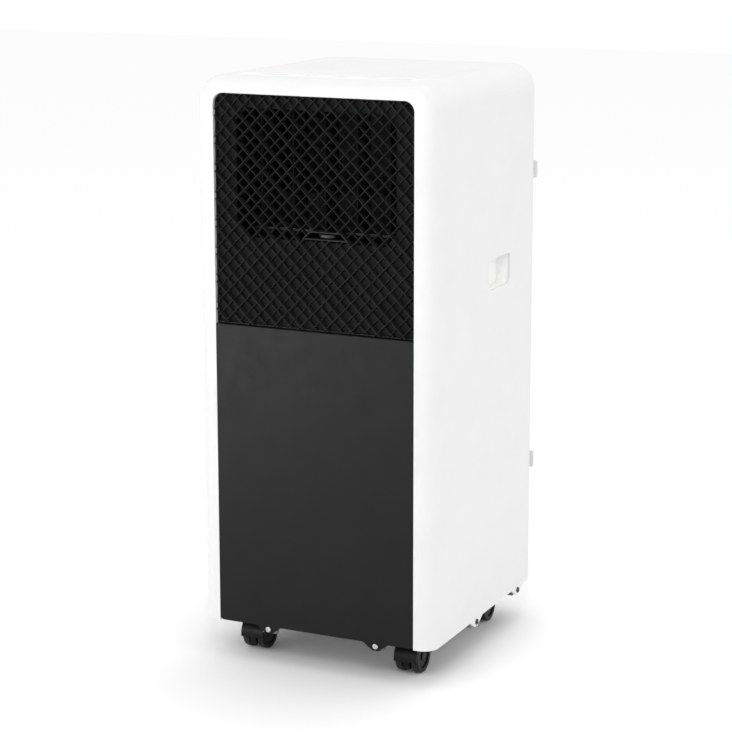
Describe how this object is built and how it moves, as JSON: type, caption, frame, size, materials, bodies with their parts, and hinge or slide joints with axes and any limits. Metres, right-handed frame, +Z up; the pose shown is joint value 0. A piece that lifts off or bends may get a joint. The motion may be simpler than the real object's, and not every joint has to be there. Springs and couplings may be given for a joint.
{
  "type": "portable air conditioner",
  "caption": "Upright mobile air conditioner on twin-wheel casters: white casing, black lattice air outlet over louvres, charcoal front, rear intakes and hose port.",
  "frame": {"origin": "on the floor, under the middle of the overall footprint (cord hooks included)", "axes": "+Z up, -Y is the front with the air outlet, +X is the right-hand side seen from the front"},
  "size_m": [0.2996, 0.317, 0.686],
  "materials": {
    "white_shell": "satin moulded white",
    "black_grille": "semi-gloss black",
    "charcoal_plastic": "matte charcoal",
    "louvre_grey": "matte dark grey",
    "grey_plastic": "matte grey",
    "overlay_film": "printed film",
    "zinc_steel": "zinc-plated",
    "dark_steel": "black",
    "fin_aluminium": "bare fins",
    "copper": "bare copper",
    "motor_steel": "grey",
    "board_green": "solder mask",
    "rubber_black": "matte rubber",
    "filter_net": "extruded polypropylene net",
    "caster_black": "semi-gloss black nylon",
    "foam_white": "expanded polystyrene",
    "can_silver": "drawn can"
  },
  "bodies": {
    "cabinet": {"base_pan": "grey_plastic", "casing": "white_shell", "compressor": "dark_steel", "compressor_mounts": "rubber_black", "condenser_coil": "fin_aluminium", "condenser_return_bends": "copper", "control_board": "board_green", "control_overlay": "overlay_film", "cord_gland": "rubber_black", "cord_hook_lower": "white_shell", "cord_hook_upper": "white_shell", "electrical_box": "zinc_steel", "evaporator_coil": "fin_aluminium", "evaporator_return_bends": "copper", "exhaust_collar": "white_shell", "exhaust_duct": "grey_plastic", "front_frame": "white_shell", "front_grille": "black_grille", "front_screws": "zinc_steel", "handle_cup_left": "white_shell", "handle_cup_right": "white_shell", "lower_fan_motor": "motor_steel", "lower_front_panel": "charcoal_plastic", "lower_scroll": "grey_plastic", "lug_arms": "grey_plastic", "main_board": "board_green", "mid_deck": "foam_white", "outlet_bezel": "charcoal_plastic", "outlet_duct": "louvre_grey", "pan_lugs": "grey_plastic", "rear_panel": "white_shell", "rear_screws": "dark_steel", "refrigerant_lines": "copper", "run_capacitor": "can_silver", "side_screws": "dark_steel", "upper_fan_motor": "motor_steel", "upper_scroll": "louvre_grey"},
    "louvre_link": {"louvre_link": "louvre_grey"},
    "louvre_vane_1": {"louvre_vane_1": "louvre_grey"},
    "louvre_vane_2": {"louvre_vane_2": "louvre_grey"},
    "louvre_vane_3": {"louvre_vane_3": "louvre_grey"},
    "louvre_vane_4": {"louvre_vane_4": "louvre_grey"},
    "louvre_vane_5": {"louvre_vane_5": "louvre_grey"},
    "upper_blower": {"upper_blower_wheel": "grey_plastic"},
    "lower_blower": {"lower_blower_wheel": "grey_plastic"},
    "upper_filter": {"upper_intake_grille": "white_shell", "upper_filter_mesh": "filter_net"},
    "upper_drain": {"upper_drain_plug": "rubber_black"},
    "lower_filter": {"lower_intake_grille": "white_shell", "lower_filter_mesh": "filter_net"},
    "lower_drain": {"lower_drain_plug": "rubber_black"},
    "caster_fork_front_left": {"caster_fork_front_left": "caster_black"},
    "caster_wheels_front_left": {"caster_wheels_front_left": "caster_black"},
    "caster_fork_front_right": {"caster_fork_front_right": "caster_black"},
    "caster_wheels_front_right": {"caster_wheels_front_right": "caster_black"},
    "caster_fork_rear_left": {"caster_fork_rear_left": "caster_black"},
    "caster_wheels_rear_left": {"caster_wheels_rear_left": "caster_black"},
    "caster_fork_rear_right": {"caster_fork_rear_right": "caster_black"},
    "caster_wheels_rear_right": {"caster_wheels_rear_right": "caster_black"}
  },
  "joints": [
    {"name": "link_slide", "type": "slide", "parent": "cabinet", "child": "louvre_link", "axis": [1, 0, 0], "range_m": [-0.0065, 0.0065]},
    {"name": "vane_1_turn", "type": "hinge", "parent": "cabinet", "child": "louvre_vane_1", "pos_m": [-0.08, -0.1085, 0.576], "axis": [0, 0, 1], "range_deg": [-28.5, 28.5]},
    {"name": "vane_2_turn", "type": "hinge", "parent": "cabinet", "child": "louvre_vane_2", "pos_m": [-0.04, -0.1085, 0.576], "axis": [0, 0, 1], "range_deg": [-28.5, 28.5]},
    {"name": "vane_3_turn", "type": "hinge", "parent": "cabinet", "child": "louvre_vane_3", "pos_m": [0, -0.1085, 0.576], "axis": [0, 0, 1], "range_deg": [-28.5, 28.5]},
    {"name": "vane_4_turn", "type": "hinge", "parent": "cabinet", "child": "louvre_vane_4", "pos_m": [0.04, -0.1085, 0.576], "axis": [0, 0, 1], "range_deg": [-28.5, 28.5]},
    {"name": "vane_5_turn", "type": "hinge", "parent": "cabinet", "child": "louvre_vane_5", "pos_m": [0.08, -0.1085, 0.576], "axis": [0, 0, 1], "range_deg": [-28.5, 28.5]},
    {"name": "upper_blower_spin", "type": "hinge", "parent": "cabinet", "child": "upper_blower", "pos_m": [0, -0.0385, 0.461], "axis": [0, 1, 0], "continuous": true},
    {"name": "lower_blower_spin", "type": "hinge", "parent": "cabinet", "child": "lower_blower", "pos_m": [0.055, 0.0215, 0.158], "axis": [0, 1, 0], "continuous": true},
    {"name": "upper_filter_pull", "type": "slide", "parent": "cabinet", "child": "upper_filter", "axis": [0, 1, 0], "range_m": [0, 0.03]},
    {"name": "upper_drain_pull", "type": "slide", "parent": "cabinet", "child": "upper_drain", "axis": [0, 1, 0], "range_m": [0, 0.02]},
    {"name": "lower_filter_pull", "type": "slide", "parent": "cabinet", "child": "lower_filter", "axis": [0, 1, 0], "range_m": [0, 0.03]},
    {"name": "lower_drain_pull", "type": "slide", "parent": "cabinet", "child": "lower_drain", "axis": [0, 1, 0], "range_m": [0, 0.02]},
    {"name": "caster_swivel_front_left", "type": "hinge", "parent": "cabinet", "child": "caster_fork_front_left", "pos_m": [-0.1, -0.1145, 0.056], "axis": [0, 0, 1], "continuous": true},
    {"name": "caster_roll_front_left", "type": "hinge", "parent": "caster_fork_front_left", "child": "caster_wheels_front_left", "pos_m": [-0.1, -0.1045, 0.0195], "axis": [1, 0, 0], "continuous": true},
    {"name": "caster_swivel_front_right", "type": "hinge", "parent": "cabinet", "child": "caster_fork_front_right", "pos_m": [0.1, -0.1145, 0.056], "axis": [0, 0, 1], "continuous": true},
    {"name": "caster_roll_front_right", "type": "hinge", "parent": "caster_fork_front_right", "child": "caster_wheels_front_right", "pos_m": [0.1, -0.1045, 0.0195], "axis": [1, 0, 0], "continuous": true},
    {"name": "caster_swivel_rear_left", "type": "hinge", "parent": "cabinet", "child": "caster_fork_rear_left", "pos_m": [-0.1, 0.0865, 0.056], "axis": [0, 0, 1], "continuous": true},
    {"name": "caster_roll_rear_left", "type": "hinge", "parent": "caster_fork_rear_left", "child": "caster_wheels_rear_left", "pos_m": [-0.1, 0.0965, 0.0195], "axis": [1, 0, 0], "continuous": true},
    {"name": "caster_swivel_rear_right", "type": "hinge", "parent": "cabinet", "child": "caster_fork_rear_right", "pos_m": [0.1, 0.0865, 0.056], "axis": [0, 0, 1], "continuous": true},
    {"name": "caster_roll_rear_right", "type": "hinge", "parent": "caster_fork_rear_right", "child": "caster_wheels_rear_right", "pos_m": [0.1, 0.0965, 0.0195], "axis": [1, 0, 0], "continuous": true}
  ],
  "couplings": [
    {"joint": "vane_1_turn", "follows": "link_slide", "rad_per_m": 74.794},
    {"joint": "vane_2_turn", "follows": "link_slide", "rad_per_m": 74.794},
    {"joint": "vane_3_turn", "follows": "link_slide", "rad_per_m": 74.794},
    {"joint": "vane_4_turn", "follows": "link_slide", "rad_per_m": 74.794},
    {"joint": "vane_5_turn", "follows": "link_slide", "rad_per_m": 74.794}
  ]
}
